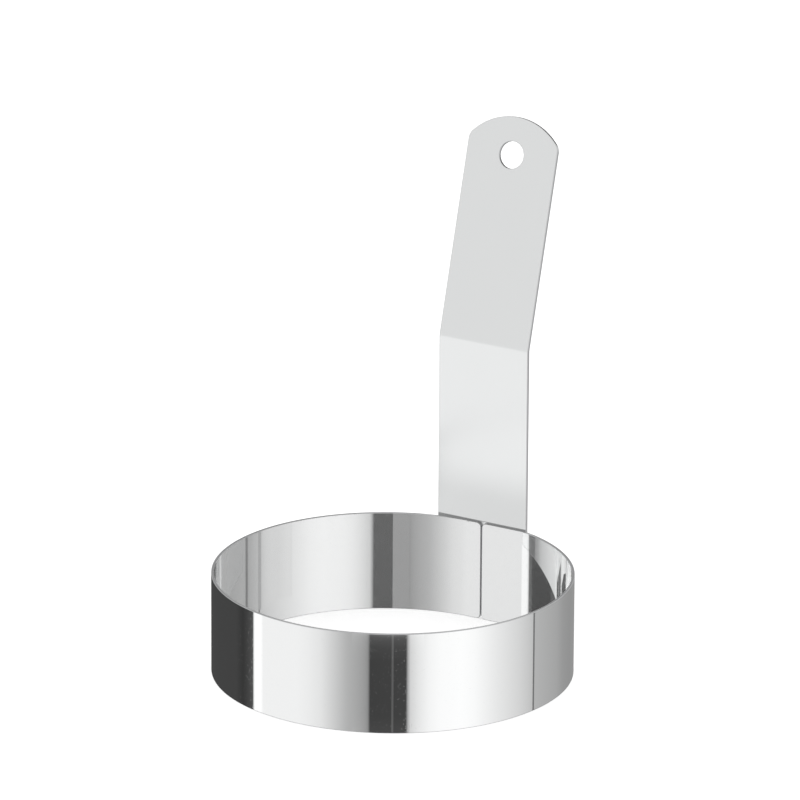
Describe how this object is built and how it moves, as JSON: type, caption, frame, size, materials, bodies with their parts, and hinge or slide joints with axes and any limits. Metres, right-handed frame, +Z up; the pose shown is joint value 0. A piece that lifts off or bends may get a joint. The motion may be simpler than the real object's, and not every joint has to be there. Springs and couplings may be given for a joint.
{
  "type": "egg ring",
  "caption": "Round egg ring of bent sheet metal with an open butt seam, welded to an upright flat handle with an outward fold, a bowed tip and a hanging hole.",
  "frame": {"origin": "under the middle of the bounding box, on the surface that the ring stands on", "axes": "+Z up along the ring's axis, +Y from the ring's middle towards the handle, +X to the right as seen from the open side of the ring"},
  "size_m": [0.089, 0.103, 0.1266],
  "materials": {
    "bright_band": "mirror-polished stainless steel",
    "satin_handle": "satin stainless steel, polished edges",
    "weld_metal": "dull fused steel, hidden between the sheets"
  },
  "bodies": {
    "root": {"ring_band": "bright_band", "handle": "satin_handle", "spot_welds": "weld_metal"}
  },
  "joints": []
}
